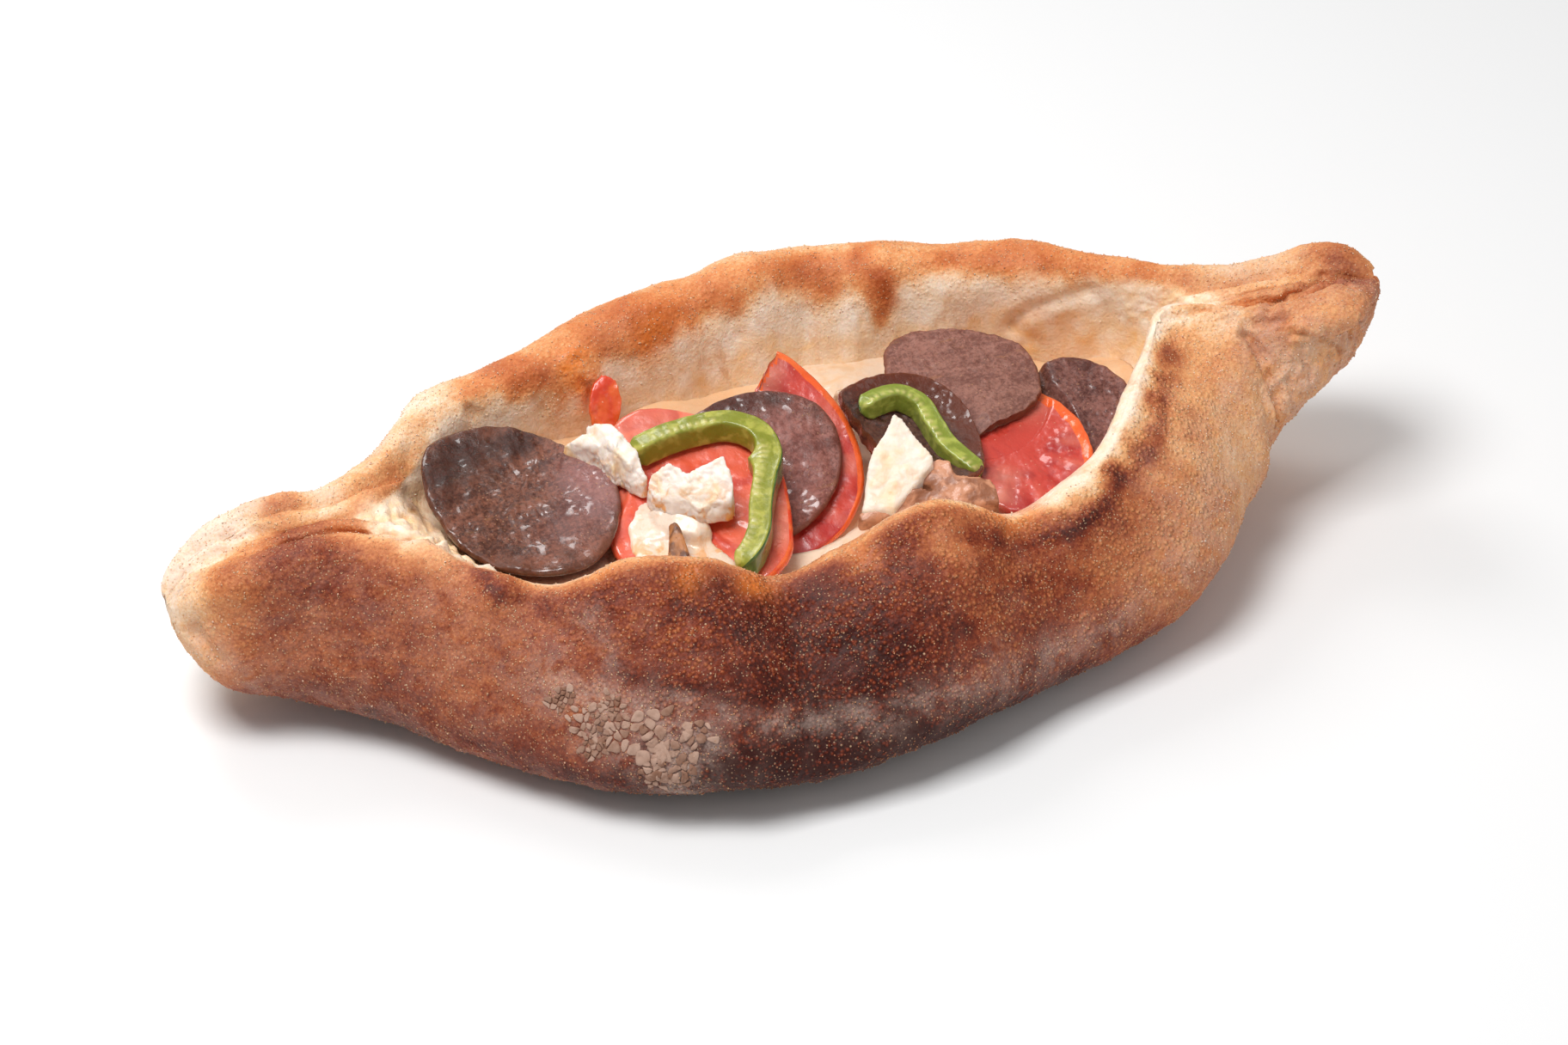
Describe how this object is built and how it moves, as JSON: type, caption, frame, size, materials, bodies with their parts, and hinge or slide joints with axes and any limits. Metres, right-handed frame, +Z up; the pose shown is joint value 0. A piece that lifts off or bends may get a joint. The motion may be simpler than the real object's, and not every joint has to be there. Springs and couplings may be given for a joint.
{
  "type": "peinirli, boat-shaped filled bread",
  "caption": "Boat-shaped bread pinched shut at both ends, baked open over melted cheese, sausage and tomato slices, green pepper and white cheese.",
  "frame": {"origin": "middle of the object's box at its underside, where it rests", "axes": "+X along the bread towards its raised, knobbed end, -Y towards the low side of the rim, +Z up"},
  "size_m": [0.282, 0.1552, 0.054],
  "materials": {
    "crust": "baked bread crust, matte with browned satin patches and pale semolina",
    "cheese": "melted cheese, soft gloss",
    "feta": "crumbly white cheese, moist matte",
    "sausage": "dark cured sausage, oily gloss",
    "meat": "browned minced meat, moist matte",
    "tomato": "cooked tomato, wet gloss",
    "pepper": "cooked green pepper, wet gloss",
    "onion": "cooked onion, wet gloss"
  },
  "bodies": {
    "root": {"dough": "crust", "cheese_filling": "cheese", "feta_left": "feta", "feta_front": "feta", "feta_melted": "feta", "feta_peak": "feta", "brown_sliver": "meat", "meat_crumble": "meat", "pepper_hook": "pepper", "pepper_arc": "pepper", "onion_bit": "onion", "sausage_curled": "sausage", "sausage_rear": "sausage", "sausage_left": "sausage", "sausage_middle": "sausage", "sausage_right": "sausage", "sausage_under": "sausage", "tomato_front": "tomato", "tomato_right": "tomato", "tomato_crescent": "tomato", "tomato_scrap": "tomato"}
  },
  "joints": []
}
